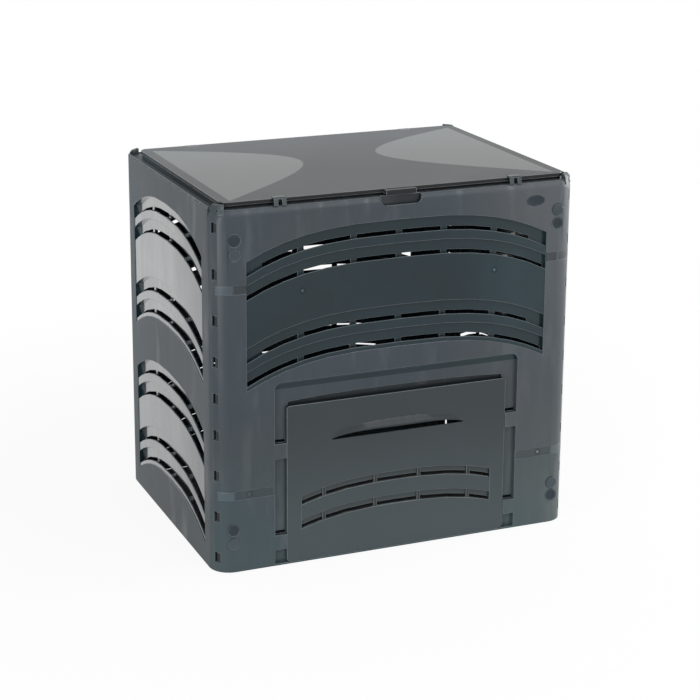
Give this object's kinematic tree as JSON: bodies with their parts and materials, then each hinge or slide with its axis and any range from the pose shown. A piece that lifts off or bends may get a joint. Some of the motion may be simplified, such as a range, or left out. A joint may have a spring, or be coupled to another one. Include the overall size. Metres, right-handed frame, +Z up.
{
  "type": "compost bin",
  "caption": "Box-shaped garden compost bin of snap-together louvred plastic walls, with a hinged lid and a lift-up emptying hatch.",
  "frame": {"origin": "on the ground under the middle of the bin's bounding box", "axes": "+Z up, +X to the right as seen from the front, front with the hatch towards -Y"},
  "size_m": [1.04, 0.7894, 1.0034],
  "materials": {
    "wall_plastic": "satin moulded grain, with polished louvre bays",
    "lid_plastic": "fine matt grain with lens-shaped polished fields",
    "hatch_plastic": "semi-gloss, smooth",
    "clip_plastic": "satin, smooth"
  },
  "bodies": {
    "bin": {"front_wall": "wall_plastic", "back_wall": "wall_plastic", "left_wall": "wall_plastic", "right_wall": "wall_plastic", "corner_clip_front_left": "clip_plastic", "corner_clip_front_right": "clip_plastic", "corner_clip_back_left": "clip_plastic", "corner_clip_back_right": "clip_plastic"},
    "lid": {"lid": "lid_plastic", "front_clip_left": "clip_plastic", "front_clip_right": "clip_plastic", "hinge_clip_left": "clip_plastic", "hinge_clip_right": "clip_plastic"},
    "hatch": {"hatch": "hatch_plastic"}
  },
  "joints": [
    {"name": "lid_hinge", "type": "hinge", "parent": "bin", "child": "lid", "pos_m": [0, 0.36675, 0.987], "axis": [-1, 0, 0], "range_deg": [0, 105]},
    {"name": "hatch_lift", "type": "slide", "parent": "bin", "child": "hatch", "axis": [0, 0, 1], "range_m": [0, 0.045]}
  ]
}
